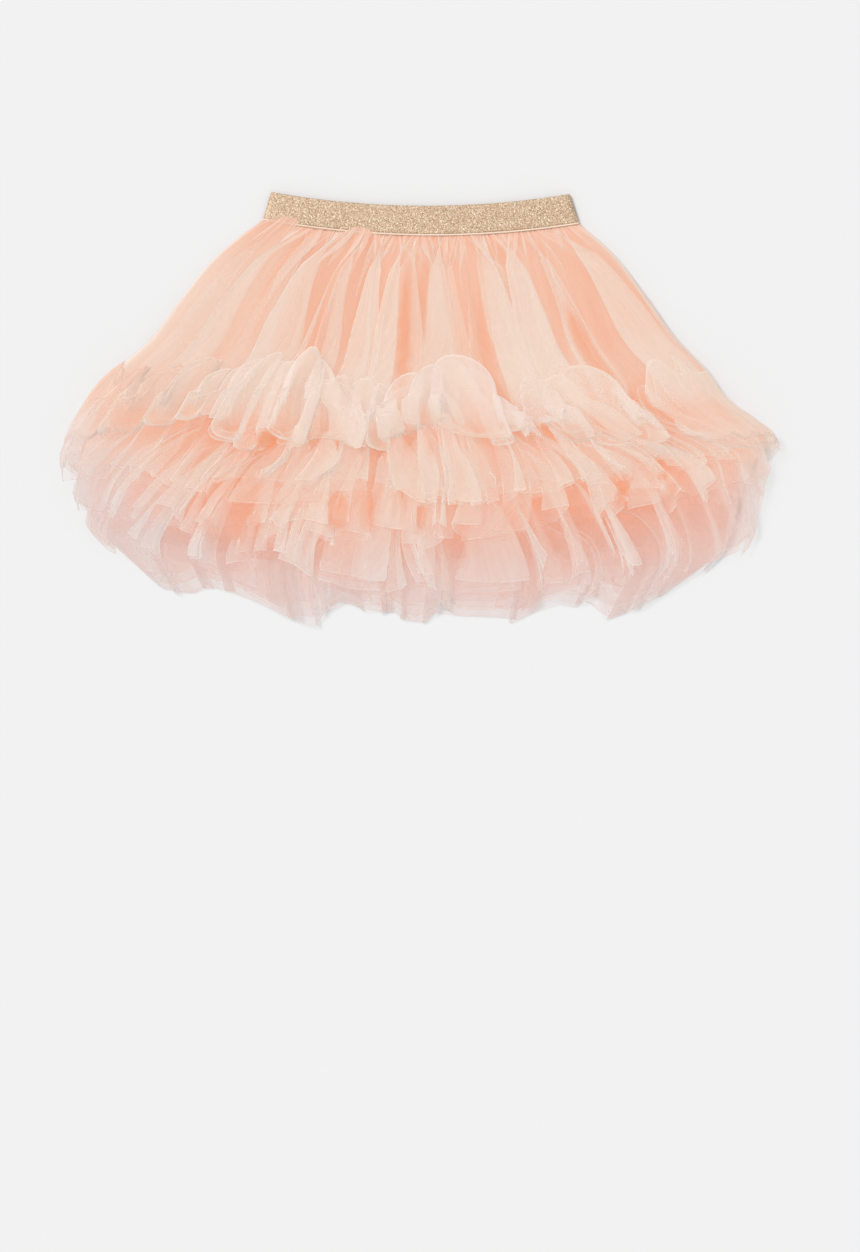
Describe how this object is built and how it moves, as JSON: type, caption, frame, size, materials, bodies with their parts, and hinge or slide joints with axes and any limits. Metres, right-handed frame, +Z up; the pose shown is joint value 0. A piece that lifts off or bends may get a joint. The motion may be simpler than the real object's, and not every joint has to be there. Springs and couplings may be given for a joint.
{
  "type": "tulle skirt",
  "caption": "Child's gathered tulle skirt with a glitter elastic waistband and full ruffles under a puffed heading, laid flat with its front up.",
  "frame": {"origin": "centre of the bounding box at the surface the skirt lies on", "axes": "+Z up from the surface through the cloth, +Y towards the waistband, +X to the right as seen from above"},
  "size_m": [0.528, 0.323, 0.0371],
  "materials": {
    "glitter_elastic": "fine knitted elastic with metallic champagne glitter",
    "sheer_tulle": "sheer soft tulle, pale peach",
    "coral_tulle": "layered tulle, deeper coral",
    "ruffle_tulle": "gathered soft tulle, pale peach fading to greyish pink at the lowest hem"
  },
  "bodies": {
    "root": {"waistband": "glitter_elastic", "overskirt": "sheer_tulle", "underskirt": "coral_tulle", "ruffle_1": "ruffle_tulle", "ruffle_2": "ruffle_tulle", "ruffle_3": "ruffle_tulle", "ruffle_4": "ruffle_tulle"}
  },
  "joints": []
}
